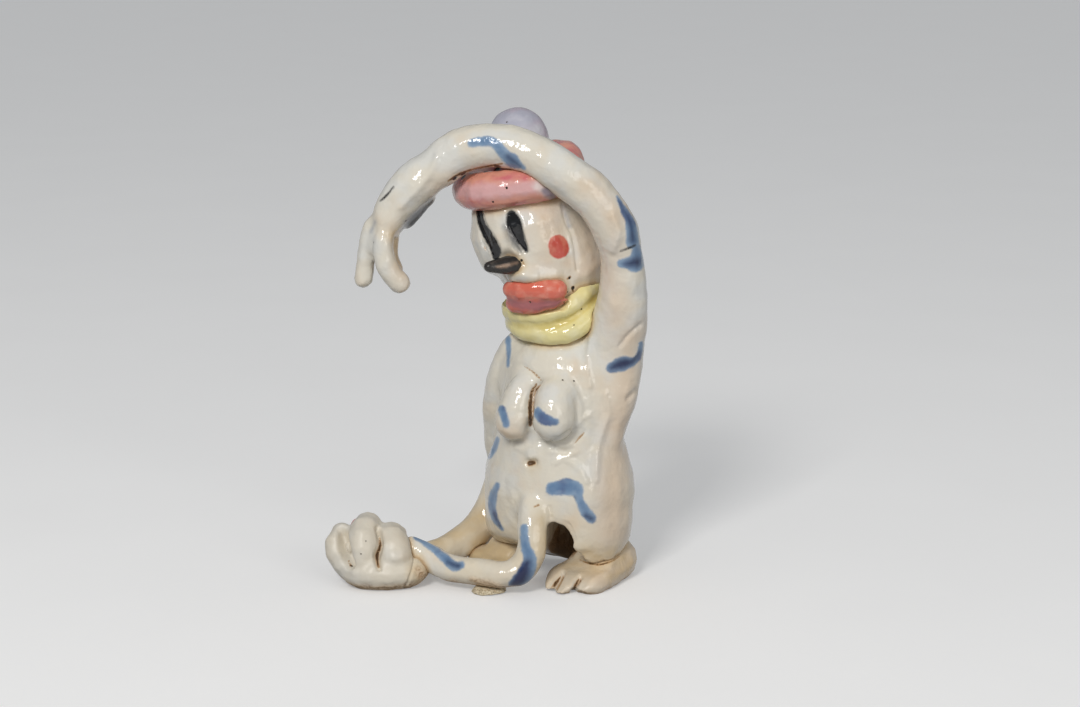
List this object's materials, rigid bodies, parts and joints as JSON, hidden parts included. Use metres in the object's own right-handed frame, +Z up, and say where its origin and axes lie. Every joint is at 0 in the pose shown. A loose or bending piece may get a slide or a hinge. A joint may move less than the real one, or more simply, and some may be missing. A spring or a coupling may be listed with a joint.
{
  "type": "ceramic figurine",
  "caption": "Hand-built glazed ceramic figurine: a standing figure in a beret and scarf arches one arm over its hat, the other hand clenched on a floor coil.",
  "frame": {"origin": "on the floor, under the middle of the figure's overall box", "axes": "+Z up; +X towards the figure's left side, the viewer's right in the picture; the viewer looks along +Y"},
  "size_m": [0.092, 0.0486, 0.1354],
  "materials": {
    "white_glaze": "glossy cream-white glaze with brushed blue dabs",
    "bare_clay": "rough unglazed fired clay",
    "pink_glaze": "glossy mottled pink glaze",
    "red_glaze": "glossy salmon-red glaze",
    "yellow_glaze": "glossy pale yellow glaze",
    "lilac_glaze": "glossy pale lilac glaze",
    "graphite_glaze": "dark, slightly metallic grey glaze"
  },
  "bodies": {
    "root": {"torso": "white_glaze", "left_leg": "white_glaze", "right_leg": "white_glaze", "left_foot": "white_glaze", "right_foot": "white_glaze", "left_breast": "white_glaze", "right_breast": "white_glaze", "head": "white_glaze", "nape": "white_glaze", "muzzle": "white_glaze", "raised_arm": "white_glaze", "raised_palm": "white_glaze", "raised_middle_finger": "white_glaze", "raised_index_finger": "white_glaze", "raised_ring_finger": "white_glaze", "raised_thumb": "white_glaze", "coil": "white_glaze", "lowered_arm": "white_glaze", "fist_palm": "white_glaze", "fist_middle_finger": "white_glaze", "fist_ring_finger": "white_glaze", "fist_index_finger": "white_glaze", "fist_thumb": "white_glaze", "coil_pad": "bare_clay", "hat_crown": "pink_glaze", "hat_brim": "pink_glaze", "upper_lip": "red_glaze", "lower_lip": "red_glaze", "coil_tip": "red_glaze", "scarf_upper_fold": "yellow_glaze", "scarf_lower_fold": "yellow_glaze", "hat_pompom": "lilac_glaze", "nose": "graphite_glaze"}
  },
  "joints": []
}
